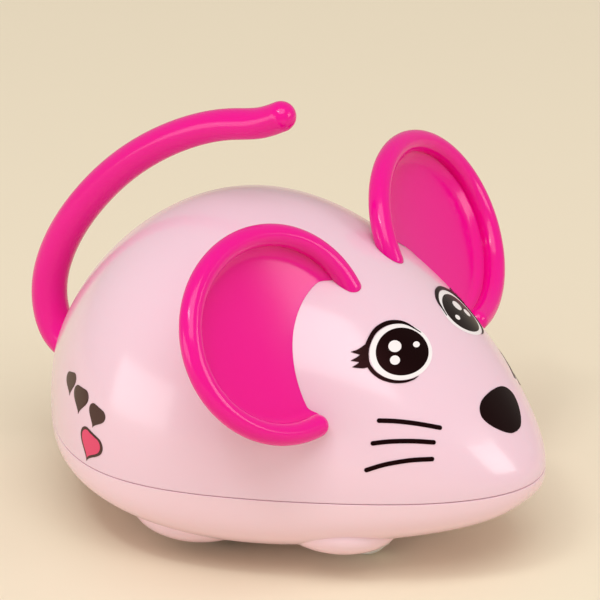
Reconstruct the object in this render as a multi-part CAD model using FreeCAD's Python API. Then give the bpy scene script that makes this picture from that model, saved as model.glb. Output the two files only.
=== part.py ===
"""A clockwork toy mouse: an egg-shaped plastic body in two shells on four hidden wheels, with two dished
ears, a tail that arches over the back, and a spring motor wound by a key on the left flank.

Every shape is built in millimetres with +X towards the nose, +Y towards the mouse's left, +Z up, X = 0 at the
middle of the body and Z = 0 on the floor. export() then moves it all forward by half the tail's overhang, so
that the origin is under the middle of the whole toy.
"""

import FreeCAD
import Part

import math
import os

from FreeCAD import Matrix, Placement, Rotation, Vector

# ---- body ----
BODY_LENGTH = 100.0
SEAM_Z = 17.4  # height of the joint between the two shells
WALL = 1.5
# The body is an ellipsoid whose semi-axes change along its length. Each row is one station, evenly spaced in
# angle from the rump to the nose: half width, height of the back above the seam, depth of the belly below it.
STATIONS = [
    (16.0, 23.9, 15.4),
    (33.7, 38.7, 11.0),
    (36.3, 39.4, 14.3),
    (28.6, 28.8, 13.3),
    (26.2, 16.5, 15.6),
]
BACK_POWER = 2.1  # superellipse power of a cross-section above the seam; 2 is an ellipse
BELLY_POWER = 3.0
SPANS_ALONG = 12  # spline spans of the body surface from the rump to the nose
SPANS_AROUND = 10  # and from one side of the seam to the other
SEAM_GAP = 0.22  # open line left between the shells
LIP = 0.7  # thickness of the lip that locates the upper shell
LIP_HEIGHT = 1.4

# ---- paws under the body ----
PAW_SIZE = (11.6, 9.6, 5.0)  # semi-axes
FRONT_PAW = (19.4, 16.0, 9.1)  # x, |y|, z of its middle
REAR_PAW = (-6.6, 22.0, 7.35)

# ---- ears ----
EAR_CENTRE = (14.0, 26.9, 47.2)  # x, |y|, z
EAR_SPLAY = 10.3  # the face turns this far outward from straight ahead
EAR_TILT = 28.3  # and this far up
EAR_HALF_WIDTH = 22.1
EAR_HALF_HEIGHT = 19.25
EAR_BEAD = 2.0  # radius of the rolled rim
EAR_RIM_ENDS = (8.0, 273.0)  # the rim's two ends, degrees round from the inner side over the top
EAR_PLATE = 1.3
EAR_RECESS = 2.1  # how far the dish's floor lies behind the rim's centre
EAR_FLOOR = 15.6  # radius at which the dish's floor starts to rise to the rim
EAR_TABS = [(12.0, 0.0), (3.0, -10.0)]  # middle of each tab, across and up the dish
EAR_TAB_SIZE = (6.0, 14.0)
TAB_REACH = 3.6  # how deep the ear's tabs go into the body
TAB_CLEARANCE = 0.15

# ---- tail ----
TAIL_PATH = [  # x, z of its centreline, from inside the rump to the tip
    (-45.0, 20.9),
    (-49.4, 22.5),
    (-52.2, 28.6),
    (-50.7, 38.4),
    (-43.9, 50.0),
    (-34.8, 59.6),
    (-22.8, 67.7),
    (-12.4, 71.7),
    (-6.4, 73.2),
    (-2.3, 75.2),
]
TAIL_ROOT_RADIUS = 3.4
TAIL_TIP_RADIUS = 2.75
TAIL_SECTIONS = 48
TAIL_COLLAR = (4.9, 2.0)  # radius and thickness of the collar that holds it inside the rump
TAIL_HOLE_CLEARANCE = 0.1

# ---- running gear ----
REAR_AXLE = (-9.0, 9.5)  # x, z; the wheel's radius is its height
FRONT_AXLE = (20.0, 6.5)
AXLE_RADIUS = 1.0
RUNNING = 0.05  # radial clearance of a shaft in its bearing
SIDE_PLAY = 0.1  # end clearance between turning pieces
REAR_WHEEL_Y = (12.5, 17.5)  # inner and outer face
FRONT_WHEEL_Y = (6.6, 10.4)
TYRE_THICKNESS = 2.3
TYRE_GROOVE = 0.7  # how deep the tyre sits between the wheel's flanges
FLANGE = 0.7  # thickness of the rear wheel's flange each side of the tyre
WHEEL_HUB = 2.7  # radius
WHEEL_DISH = 1.1  # how deep a rear wheel's faces are hollowed
WHEEL_EDGE = 0.3  # chamfer
TREAD = (1.2, 0.2, 0.35)  # the tyre's two grooves: distance from its side, half width, depth
SLOT_CLEARANCE = 1.0
BEARING_Y = (2.6, 5.0)  # the two blocks that hold the front axle
BEARING_HALF_LENGTH = 3.0
BEARING_TOP = 3.4  # above the axle's centre
SNAP_SLOT = 1.7  # mouth through which the front axle snaps in

# ---- gear train: every shaft lies along Y ----
MODULE = 0.5
GREAT_TEETH = 48
SECOND_TEETH = 36
PINION_TEETH = 12
PRESSURE_ANGLE = 20.0
ADDENDUM = 0.75  # in modules: short teeth, so that twelve-leaf pinions don't foul
DEDENDUM = 1.1
BACKLASH = 0.10
WINDING_OFFSET = (-8.0, 15.0)  # winding arbor from the drive axle
GOVERNOR_DIRECTION = 40.0  # degrees above +X, from the second arbor to the governor arbor
GREAT_WHEEL_Y = (-0.8, 1.0)
GREAT_WINDOWS = (5, 2.1, 7.4)  # how many, their radius, and how far out they lie
GREAT_HUB = (3.0, 2.6)  # radius, and y of its end
SECOND_PINION_Y = (-1.5, 1.8)
SECOND_WHEEL_Y = (2.6, 4.2)
SECOND_WINDOWS = (4, 1.9, 5.2)
PINION_Y = (1.9, 4.9)  # the pinions that mesh with the second wheel
FLYWHEEL = (5.0, 5.5, 8.0)  # radius, and y of its two faces
THIN_SHAFT = 0.8
SHAFT_END = 0.5  # how far a shaft stands out of the motor plate

# ---- motor frame ----
PLATE_Y = 9.0  # inner face of each motor plate
PLATE_THICKNESS = 1.0
PLATE_OUTLINE = [  # x, z of the motor plates' corners
    (-31.0, 14.0),
    (-24.0, 11.0),
    (-16.0, 8.7),
    (-10.5, 7.3),
    (4.0, 6.8),
    (12.0, 10.0),
    (12.0, 31.0),
    (8.0, 36.0),
    (-9.0, 38.8),
    (-26.0, 38.0),
    (-31.5, 33.5),
]
PILLARS = [(-28.6, 15.6), (-28.2, 34.5), (-6.0, 34.8), (9.6, 13.4)]  # x, z of the posts between the plates
PILLAR_RADIUS = 1.5
TENON = (0.9, 1.3, 0.4)  # radius of the riveted end, then radius and height of its head
LUG_X = (-25.0, 5.0)  # middle of the rear and the front fixing lugs
LUG_Z = 13.0
LUG_SIZE = (6.0, 6.0)  # along X, and out from the plate
ARBOR_RADIUS = 1.5
ARBOR_SHOULDER = 2.0  # radius between the bearings, inside the mainspring
SPRING_Y = (-8.4, -1.6)
SPRING_STRIP = 0.35
SPRING_HALF_TURNS = 17
SPRING_RADII = (2.4, 11.2)  # middle of the strip at the inner and the outer end
CLUTCH_COLLAR_Y = (2.7, 5.6)
CLUTCH_SLEEVE = 0.8  # thickness of its sleeve
CLUTCH_WIRE = 0.5  # side of the wire's square section
CLUTCH_PITCH = 0.6
CLUTCH_TURNS = 6

# ---- key ----
KEY_STEM = 2.4  # radius
KEY_HOLE_CLEARANCE = 0.4
KEY_FIT = 0.02  # between the key's bore and the arbor
KEY_HUB = (3.3, 37.3, 43.0)  # radius, and y of its two ends
KEY_WING = (4.7, 4.2, 43.8)  # radius, offset to each side, y of the middle
KEY_WING_THICKNESS = 2.6
KEY_EYE = 1.9  # radius of the hole in each wing
KEY_END_Y = 24.0  # inner end of the stem
ARBOR_END_Y = 38.0
ARBOR_FLAT = 1.0  # height above the arbor's centre of the flat that turns the key

# ---- fasteners ----
SHELL_SCREWS = [(-37.0, 11.0), (-37.0, -11.0), (38.0, 0.0)]  # x, y
SCREW_RADIUS = 1.1
SCREW_HEAD = (2.2, 1.5)  # radius and height
SCREW_SLOT = (0.5, 0.7)  # width and depth of each arm of the cross
SCREW_FIT = 0.05
SEAT_Z = 13.6  # what the shell screws' heads pull on
BOSS_TOP = 15.4  # where the lower shell's tubes meet the upper shell's posts
BOSS_RADIUS = 3.4
POST_RADIUS = 3.1
POST_DEPTH = 8.0  # how far a shell screw goes up into its post
MOTOR_SCREW_LENGTH = 3.6
MOTOR_BOSS_RADIUS = 2.5
PAD = (7.0, 8.0, 16.0, 2.5)  # the flat pad on the belly: x of its middle, size along X and Y, z of its face


# ---- small builders ----
def box(x, y, z):
    """A box from three (low, high) pairs."""
    return Part.makeBox(x[1] - x[0], y[1] - y[0], z[1] - z[0], Vector(x[0], y[0], z[0]))


def rod_y(radius, x, z, y):
    """A cylinder along Y between the two values of y."""
    return Part.makeCylinder(radius, y[1] - y[0], Vector(x, y[0], z), Vector(0, 1, 0))


def rod_z(radius, x, y, z):
    return Part.makeCylinder(radius, z[1] - z[0], Vector(x, y, z[0]), Vector(0, 0, 1))


def ring_y(profile, x, z):
    """Turns a closed outline of (radius, y) points round a shaft along Y."""
    points = [Vector(x + r, y, z) for r, y in profile]
    face = Part.Face(Part.makePolygon(points + points[:1]))
    return face.revolve(Vector(x, 0, z), Vector(0, 1, 0), 360)


def rounded_ring_y(inner, outer, y, corner, x, z):
    """A ring round a shaft along Y with chamfered outer corners."""
    return ring_y(
        [
            (inner, y[0]),
            (outer - corner, y[0]),
            (outer - corner * 0.3, y[0] + corner * 0.3),
            (outer, y[0] + corner),
            (outer, y[1] - corner),
            (outer - corner * 0.3, y[1] - corner * 0.3),
            (outer - corner, y[1]),
            (inner, y[1]),
        ],
        x,
        z,
    )


def mirrored(shape):
    """The same piece on the mouse's other side."""
    return shape.mirror(Vector(0, 0, 0), Vector(0, 1, 0))


def united(shapes):
    return shapes[0].multiFuse(shapes[1:]) if len(shapes) > 1 else shapes[0]


def joined_in_turn(shape, additions):
    """Curved skins join more cleanly when each addition is fused on its own."""
    for addition in additions:
        shape = shape.fuse(addition)
    return shape


def cut_in_turn(shape, openings):
    for opening in openings:
        shape = shape.cut(opening)
    return shape


# ---- body surface ----
def net_angles(spans):
    """(angle, push) for each row of a clamped cubic spline net over half a turn. The push moves a net point
    out so that the surface, which lies inside its net, passes through the intended curve."""
    step = math.pi / spans
    end = (step / 3, 1 / math.cos(step / 3))
    inner = [(step * i, 1 / (1 - step * step / 6)) for i in range(1, spans)]
    return [(0.0, 1.0), end] + inner + [(math.pi - end[0], end[1]), (math.pi, 1.0)]


def fullness(angle):
    """Half width, back and belly at an angle along the body: a cosine series through the stations."""
    last = len(STATIONS) - 1

    def half_at_ends(i):
        return 0.5 if i in (0, last) else 1.0

    def series(values):
        total = 0.0
        for k in range(last + 1):
            term = sum(half_at_ends(j) * v * math.cos(math.pi * j * k / last) for j, v in enumerate(values))
            total += half_at_ends(k) * term * math.cos(k * angle) * 2 / last
        return total

    return [series(column) for column in zip(*STATIONS)]


def half_body(upper, inset=0.0):
    """The solid above or below the seam, with its surface moved in by inset."""
    net = []
    power = 2 / (BACK_POWER if upper else BELLY_POWER)
    for along, push_along in net_angles(SPANS_ALONG):
        width, back, belly = fullness(along)
        half_width = width - inset
        height = back - inset if upper else inset - belly
        x = -math.cos(along) * push_along * (BODY_LENGTH / 2 - inset)
        size = max(math.sin(along), 0.0) * push_along
        row = []
        for around, push in net_angles(SPANS_AROUND):
            side = math.copysign(abs(math.cos(around)) ** power, -math.cos(around)) * push
            rise = max(math.sin(around), 0.0) ** power * push
            row.append(Vector(x, half_width * side * size, SEAM_Z + height * rise * size))
        net.append(row)
    surface = Part.BSplineSurface()
    surface.buildFromPolesMultsKnots(
        net,
        [4] + [1] * (SPANS_ALONG - 1) + [4],
        [4] + [1] * (SPANS_AROUND - 1) + [4],
        [float(i) for i in range(SPANS_ALONG + 1)],
        [float(i) for i in range(SPANS_AROUND + 1)],
        False,
        False,
        3,
        3,
    )
    skin = surface.toShape()
    rims = [surface.vIso(v).toShape() for v in (0.0, float(SPANS_AROUND))]
    floor = Part.Face(Part.Wire(Part.__sortEdges__(rims)))
    shell = Part.Shell([skin, floor])
    shell.sewShape()
    solid = Part.Solid(shell)
    if solid.Volume < 0:
        solid.reverse()
    return solid


def seam_outline(inset, z):
    """A prism with the seam's outline, moved in by inset, between two heights."""
    flat = [f for f in half_body(True, inset).Faces if f.Surface.TypeId == "Part::GeomPlane"][0]
    moved = flat.translated(Vector(0, 0, z[0] - SEAM_Z))
    return moved.extrude(Vector(0, 0, z[1] - z[0]))


# ---- paws ----
def paw(centre, inset):
    """One of the low lumps moulded into the belly."""
    stretch = Matrix()
    stretch.scale(*[size - inset for size in PAW_SIZE])
    lump = Part.makeSphere(1.0).transformGeometry(stretch)
    return lump.translated(Vector(*centre))


def paws(inset=0.0):
    return [paw((x, side * y, z), inset) for x, y, z in (FRONT_PAW, REAR_PAW) for side in (-1, 1)]


# ---- shells ----
def wheel_slots():
    """The four openings in the belly, one round each wheel, with rounded corners."""
    slots = []
    for (x, z), y in ((REAR_AXLE, REAR_WHEEL_Y), (FRONT_AXLE, FRONT_WHEEL_Y)):
        reach = z + SLOT_CLEARANCE
        sides = (y[0] - SLOT_CLEARANCE, y[1] + SLOT_CLEARANCE)
        slot = box((x - reach, x + reach), sides, (-1.0, SEAM_Z - 2))
        upright = [e for e in slot.Edges if abs(e.BoundBox.ZLength) > 1]
        slot = slot.makeFillet(1.5, upright)
        slots += [slot, mirrored(slot)]
    return slots


def front_bearings():
    """Two blocks on the belly's floor with open-topped holes that the front axle snaps into."""
    x, z = FRONT_AXLE
    low = z - 3.0
    blocks = [
        box((x - BEARING_HALF_LENGTH, x + BEARING_HALF_LENGTH), sides, (low, z + BEARING_TOP))
        for sides in (BEARING_Y, (-BEARING_Y[1], -BEARING_Y[0]))
    ]
    rounded = []
    for block in blocks:
        top_edges = [e for e in block.Edges if e.BoundBox.ZMin > z and e.BoundBox.YLength > 1]
        rounded.append(block.makeFillet(0.5, top_edges))
    return rounded


def motor_bosses(hole):
    """Posts under the motor's four lugs, or the pilot holes in them."""
    y = PLATE_Y + PLATE_THICKNESS + LUG_SIZE[1] / 2
    radius = SCREW_RADIUS + SCREW_FIT if hole else MOTOR_BOSS_RADIUS
    low = LUG_Z + PLATE_THICKNESS - MOTOR_SCREW_LENGTH - SCREW_FIT if hole else 0.0
    return [rod_z(radius, x, side * y, (low, LUG_Z)) for x in LUG_X for side in (-1, 1)]


def lower_shell():
    inside = united([half_body(False, WALL)] + paws(WALL))
    outside = united([half_body(False)] + paws())
    shell = outside.cut(inside)

    lip_top = SEAM_Z + LIP_HEIGHT
    lip = seam_outline(WALL - LIP, (SEAM_Z - 1, lip_top)).cut(seam_outline(WALL - SCREW_FIT, (0, lip_top)))
    tubes = [rod_z(BOSS_RADIUS, x, y, (0, BOSS_TOP)) for x, y in SHELL_SCREWS]
    inner_work = united(tubes + motor_bosses(False) + front_bearings()).common(half_body(False, WALL / 3))
    pad_x, pad_length, pad_width, pad_z = PAD
    pad_ends = (pad_x - pad_length / 2, pad_x + pad_length / 2)
    pad = box(pad_ends, (-pad_width / 2, pad_width / 2), (pad_z, pad_z + WALL))
    gap = box((-60, 60), (-60, 60), (SEAM_Z - SEAM_GAP / 2, 60)).cut(seam_outline(WALL - LIP, (10, 60)))
    shell = joined_in_turn(shell, [lip, inner_work, pad]).cut(gap)

    x, z = FRONT_AXLE
    reach = BEARING_Y[1] + 0.6
    openings = wheel_slots() + motor_bosses(True) + [tail_rod(TAIL_HOLE_CLEARANCE)]
    for sides in (BEARING_Y, (-BEARING_Y[1], -BEARING_Y[0])):
        openings.append(rod_y(AXLE_RADIUS + RUNNING, x, z, sides))
        openings.append(box((x - SNAP_SLOT / 2, x + SNAP_SLOT / 2), sides, (z, z + BEARING_TOP + 1)))
    for sides in ((-reach, -BEARING_Y[1]), (-BEARING_Y[0], BEARING_Y[0]), (BEARING_Y[1], reach)):
        openings.append(rod_y(AXLE_RADIUS + 0.4, x, z, sides))
    for x, y in SHELL_SCREWS:
        openings.append(rod_z(SCREW_HEAD[0] + 0.4, x, y, (0, SEAT_Z)))
        openings.append(rod_z(SCREW_RADIUS + 0.15, x, y, (0, BOSS_TOP + 1)))
    return cut_in_turn(shell, openings)


def upper_shell():
    shell = half_body(True).cut(half_body(True, WALL))
    posts = [rod_z(POST_RADIUS, x, y, (SEAM_Z, 60)) for x, y in SHELL_SCREWS]
    posts = united(posts).common(half_body(True, WALL / 3))
    feet = [rod_z(POST_RADIUS, x, y, (BOSS_TOP + SCREW_FIT, SEAM_Z + 1)) for x, y in SHELL_SCREWS]

    low = SEAM_Z + SEAM_GAP / 2
    rebate = seam_outline(WALL - LIP - 0.08, (SEAM_Z - 1, SEAM_Z + LIP_HEIGHT + 0.15))
    rebate = rebate.cut(united([rod_z(POST_RADIUS, x, y, (0, 60)) for x, y in SHELL_SCREWS]))
    trim = box((-60, 60), (-60, 60), (0, low))
    key_hole = rod_y(KEY_STEM + KEY_HOLE_CLEARANCE, *winding_centre(), (20, 50))
    slots = [ear_tabs(side, TAB_CLEARANCE) for side in (-1, 1)]
    pilots = [rod_z(SCREW_RADIUS + SCREW_FIT, x, y, (0, SEAT_Z + 2 + POST_DEPTH)) for x, y in SHELL_SCREWS]
    openings = [rebate, trim, key_hole, tail_rod(TAIL_HOLE_CLEARANCE)] + slots
    shell = joined_in_turn(cut_in_turn(shell, openings), [posts] + feet)
    return cut_in_turn(shell, pilots)


# ---- ears ----
def ear_frame(side):
    """Turns ear coordinates (across towards the mouse's left, up the dish, out of its face) into a place.
    side is -1 for the right ear and 1 for the left."""
    splay = -side * math.radians(EAR_SPLAY)
    tilt = math.radians(EAR_TILT)
    out = Vector(math.cos(splay) * math.cos(tilt), -math.sin(splay) * math.cos(tilt), math.sin(tilt))
    across = Vector(math.sin(splay), math.cos(splay), 0)
    up = out.cross(across)
    x, y, z = EAR_CENTRE
    return Matrix(
        *(across.x, up.x, out.x, x),
        *(across.y, up.y, out.y, side * y),
        *(across.z, up.z, out.z, z),
        *(0, 0, 0, 1),
    )


def ear_rim(side):
    """The rolled rim: a round bead along an ellipse, from just past the crown round to the cheek."""
    wide = EAR_HALF_WIDTH - EAR_BEAD
    high = EAR_HALF_HEIGHT - EAR_BEAD
    first, last = EAR_RIM_ENDS
    if side > 0:
        first, last = 180 - last, 180 - first
    path = Part.Ellipse(Vector(0, 0, 0), wide, high).toShape(math.radians(first), math.radians(last))
    start = path.valueAt(path.FirstParameter)
    along = path.tangentAt(path.FirstParameter)
    section = Part.Wire(Part.makeCircle(EAR_BEAD, start, along))
    bead = Part.Wire(path).makePipeShell([section], True, False)
    ends = [Part.makeSphere(EAR_BEAD, path.valueAt(t)) for t in (path.FirstParameter, path.LastParameter)]
    return united([bead] + ends)


def ear_dish():
    """The dished plate: a flat floor, a soft curve up to the rim, the same thickness all over."""
    rim = EAR_HALF_WIDTH - EAR_BEAD
    floor = -EAR_RECESS
    back = floor - EAR_PLATE
    rise = Part.BezierCurve()
    poles = ((EAR_FLOOR, floor), (17.4, floor), (17.2, -0.5), (rim - 0.5, -0.3))
    rise.setPoles([Vector(r, 0, n) for r, n in poles])
    under = Part.BezierCurve()
    poles = ((rim, -1.5), (18.4, -1.9), (18.4, back), (EAR_FLOOR + 0.6, back))
    under.setPoles([Vector(r, 0, n) for r, n in poles])
    corners = [Vector(EAR_FLOOR, 0, floor), Vector(rim - 0.5, 0, -0.3), Vector(rim, 0, -1.5)]
    corners += [Vector(EAR_FLOOR + 0.6, 0, back), Vector(0, 0, back), Vector(0, 0, floor)]
    edges = [
        rise.toShape(),
        Part.makeLine(corners[1], corners[2]),
        under.toShape(),
        Part.makeLine(corners[3], corners[4]),
        Part.makeLine(corners[4], corners[5]),
        Part.makeLine(corners[5], corners[0]),
    ]
    disc = Part.Face(Part.Wire(edges)).revolve(Vector(0, 0, 0), Vector(0, 0, 1), 360)
    flatten = Matrix()
    flatten.scale(1, (EAR_HALF_HEIGHT - EAR_BEAD) / rim, 1)
    return disc.transformGeometry(flatten)


def ear_tabs(side, clearance):
    """The slab of the dish's floor round each tab that goes through the shell."""
    wide = EAR_TAB_SIZE[0] / 2 + clearance
    high = EAR_TAB_SIZE[1] / 2 + clearance
    floor = (-EAR_RECESS - EAR_PLATE - clearance, clearance - EAR_RECESS)
    slabs = [box((-side * x - wide, -side * x + wide), (y - high, y + high), floor) for x, y in EAR_TABS]
    placed = united(slabs).transformGeometry(ear_frame(side))
    return placed.common(half_body(True, -0.2)).cut(half_body(True, TAB_REACH))


def ear(side):
    """One ear, cut to sit on the body, with the tabs that go through it."""
    blank = ear_rim(side).fuse(ear_dish()).transformGeometry(ear_frame(side))
    return blank.cut(half_body(True, -SCREW_FIT)).fuse(ear_tabs(side, 0.0))


# ---- tail ----
def tail_rod(extra=0.0):
    """The tapered rod along the tail's path, with a round tip. extra is added to its radius."""
    path = Part.BSplineCurve()
    path.interpolate([Vector(x, 0, z) for x, z in TAIL_PATH])
    last = TAIL_SECTIONS - 1
    length = path.length()
    rings = []
    for i in range(TAIL_SECTIONS):
        t = path.parameterAtDistance(length * i / last, path.FirstParameter)
        along = path.tangent(t)[0]
        radius = TAIL_ROOT_RADIUS + (TAIL_TIP_RADIUS - TAIL_ROOT_RADIUS) * i / last + extra
        # the seam of every ring lies on the mouse's left, so that the loft doesn't twist
        turn = Rotation(Vector(0, 1, 0), Vector(0, 0, 1).cross(along), along, "ZXY")
        ring = Part.Circle(Vector(0, 0, 0), Vector(0, 0, 1), radius).toShape()
        ring.Placement = Placement(path.value(t), turn)
        rings.append(Part.Wire(ring))
    end = path.LastParameter
    tip = Part.makeSphere(TAIL_TIP_RADIUS + extra, path.value(end), path.tangent(end)[0], 0, 90, 360)
    return Part.makeLoft(rings, True, False).fuse(tip)


def tail():
    first, second = [Vector(x, 0, z) for x, z in TAIL_PATH[:2]]
    along = (second - first).normalize()
    radius, thickness = TAIL_COLLAR
    collar = Part.makeCylinder(radius, thickness, first - along * (thickness / 2), along)
    rounded = collar.makeFillet(0.5, collar.Edges[:1] + collar.Edges[2:])
    return tail_rod().fuse(rounded)


# ---- gear train ----
def winding_centre():
    return (REAR_AXLE[0] + WINDING_OFFSET[0], REAR_AXLE[1] + WINDING_OFFSET[1])


def second_centre():
    """Where the second wheel meshes with the drive pinion and its own pinion with the great wheel."""
    x, z = REAR_AXLE
    across, up = WINDING_OFFSET
    apart = math.hypot(across, up)
    to_drive = MODULE * (SECOND_TEETH + PINION_TEETH) / 2
    to_winding = MODULE * (GREAT_TEETH + PINION_TEETH) / 2
    along = (to_drive**2 - to_winding**2 + apart**2) / (2 * apart)
    aside = math.sqrt(to_drive**2 - along**2)
    return (
        x + (across * along + up * aside) / apart,
        z + (up * along - across * aside) / apart,
    )


def governor_centre():
    x, z = second_centre()
    apart = MODULE * (SECOND_TEETH + PINION_TEETH) / 2
    angle = math.radians(GOVERNOR_DIRECTION)
    return (x + apart * math.cos(angle), z + apart * math.sin(angle))


def mesh_phase(centre, teeth, phase, other_centre, other_teeth):
    """Angle of one tooth of the other gear, so that its teeth fill this gear's gaps where they meet."""
    toward = math.atan2(other_centre[1] - centre[1], other_centre[0] - centre[0])
    here = (toward - phase) * teeth / (2 * math.pi)
    there = 0.5 - here
    return toward + math.pi - there * 2 * math.pi / other_teeth


def involute(radius, base):
    """How far round an involute has turned where it crosses a radius."""
    angle = math.acos(min(base / radius, 1.0))
    return math.tan(angle) - angle


def gear(teeth, centre, y, phase, bore, windows=()):
    """A spur gear between two values of y. phase is the angle of one tooth from +X towards +Z."""
    pitch = MODULE * teeth / 2
    base = pitch * math.cos(math.radians(PRESSURE_ANGLE))
    tip = pitch + ADDENDUM * MODULE
    root = pitch - DEDENDUM * MODULE
    flank_start = max(root, base)
    half_tooth = math.pi / (2 * teeth) - BACKLASH / (4 * pitch) + involute(pitch, base)
    foot_angle = half_tooth - involute(flank_start, base)

    def at(radius, angle):
        return Vector(centre[0] + radius * math.cos(angle), y[0], centre[1] + radius * math.sin(angle))

    def flank(middle, side):
        radii = [flank_start + (tip - flank_start) * k / 4 for k in range(5)]
        points = [at(r, middle + side * (half_tooth - involute(r, base))) for r in radii]
        curve = Part.BSplineCurve()
        curve.interpolate(points)
        return curve.toShape(), points

    edges = []
    for i in range(teeth):
        middle = phase + 2 * math.pi * i / teeth
        right, right_points = flank(middle, -1)
        left, left_points = flank(middle, 1)
        edges.append(right)
        edges.append(Part.Arc(right_points[-1], at(tip, middle), left_points[-1]).toShape())
        edges.append(left)
        gap_start = middle + foot_angle
        gap_end = middle + 2 * math.pi / teeth - foot_angle
        foot = at(root, gap_start)
        next_foot = at(root, gap_end)
        next_flank = at(flank_start, gap_end)
        if flank_start > root:
            edges.append(Part.makeLine(left_points[0], foot))
            edges.append(Part.makeLine(next_foot, next_flank))
        edges.append(Part.Arc(foot, at(root, (gap_start + gap_end) / 2), next_foot).toShape())
    outline = Part.Wire(Part.__sortEdges__(edges))
    blank = Part.Face(outline).extrude(Vector(0, y[1] - y[0], 0))
    holes = [rod_y(bore, *centre, (y[0] - 1, y[1] + 1))]
    if windows:
        count, radius, distance = windows
        for k in range(count):
            angle = 2 * math.pi * k / count
            spot = (centre[0] + distance * math.cos(angle), centre[1] + distance * math.sin(angle))
            holes.append(rod_y(radius, *spot, (y[0] - 1, y[1] + 1)))
    return blank.cut(united(holes))


def great_wheel():
    centre = winding_centre()
    bore = ARBOR_RADIUS + RUNNING
    wheel = gear(GREAT_TEETH, centre, GREAT_WHEEL_Y, 0.0, bore, GREAT_WINDOWS)
    radius, end = GREAT_HUB
    return wheel.fuse(ring_y([(bore, 0.5), (radius, 0.5), (radius, end), (bore, end)], *centre))


def second_pinion():
    phase = mesh_phase(winding_centre(), GREAT_TEETH, 0.0, second_centre(), PINION_TEETH)
    return gear(PINION_TEETH, second_centre(), SECOND_PINION_Y, phase, AXLE_RADIUS)


def second_wheel():
    return gear(SECOND_TEETH, second_centre(), SECOND_WHEEL_Y, 0.0, AXLE_RADIUS, SECOND_WINDOWS)


def drive_pinion():
    phase = mesh_phase(second_centre(), SECOND_TEETH, 0.0, REAR_AXLE, PINION_TEETH)
    return gear(PINION_TEETH, REAR_AXLE, PINION_Y, phase, AXLE_RADIUS)


def governor_pinion():
    phase = mesh_phase(second_centre(), SECOND_TEETH, 0.0, governor_centre(), PINION_TEETH)
    return gear(PINION_TEETH, governor_centre(), PINION_Y, phase, THIN_SHAFT)


def governor_flywheel():
    radius, start, end = FLYWHEEL
    return rounded_ring_y(THIN_SHAFT, radius, (start, end), 0.4, *governor_centre())


def plain_shaft(centre, radius):
    """A shaft that runs in both motor plates."""
    end = PLATE_Y + PLATE_THICKNESS + SHAFT_END
    return rod_y(radius, *centre, (-end, end))


def second_arbor():
    return plain_shaft(second_centre(), AXLE_RADIUS)


def governor_arbor():
    return plain_shaft(governor_centre(), THIN_SHAFT)


# ---- winding ----
def winding_arbor():
    """The mainspring's arbor. Its outer end has a flat for the key."""
    x, z = winding_centre()
    start = -PLATE_Y - PLATE_THICKNESS - SHAFT_END
    arbor = rod_y(ARBOR_RADIUS, x, z, (start, ARBOR_END_Y))
    shoulder = rod_y(ARBOR_SHOULDER, x, z, (SIDE_PLAY - PLATE_Y, GREAT_WHEEL_Y[0] - SIDE_PLAY))
    flat = box((x - 3, x + 3), (KEY_END_Y, ARBOR_END_Y + 1), (z + ARBOR_FLAT, z + 3))
    return arbor.fuse(shoulder).cut(flat)


def clutch_collar():
    """Turns with the arbor. Its drum matches the great wheel's hub, and its sleeve reaches the left plate."""
    start, end = CLUTCH_COLLAR_Y
    sleeve = ARBOR_RADIUS + CLUTCH_SLEEVE
    reach = PLATE_Y - SIDE_PLAY
    drum = GREAT_HUB[0]
    outline = [
        (ARBOR_RADIUS, start),
        (drum, start),
        (drum, end),
        (sleeve, end),
        (sleeve, reach),
        (ARBOR_RADIUS, reach),
    ]
    return ring_y(outline, *winding_centre())


def clutch_spring():
    """A close coil round the great wheel's hub and the collar: it grips one way and slips the other."""
    x, z = winding_centre()
    half = CLUTCH_WIRE / 2
    radius = GREAT_HUB[0] + RUNNING + half
    path = Part.makeHelix(CLUTCH_PITCH, CLUTCH_PITCH * CLUTCH_TURNS, radius)
    square = ((-half, -half), (half, -half), (half, half), (-half, half))
    corners = [Vector(radius + a, 0, b) for a, b in square]
    section = Part.makePolygon(corners + corners[:1])
    coil = Part.Wire(path.Edges).makePipeShell([section], True, True)
    start = GREAT_WHEEL_Y[1] + half + SIDE_PLAY
    coil.Placement = Placement(Vector(x, start, z), Rotation(Vector(1, 0, 0), -90))
    return coil


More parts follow.
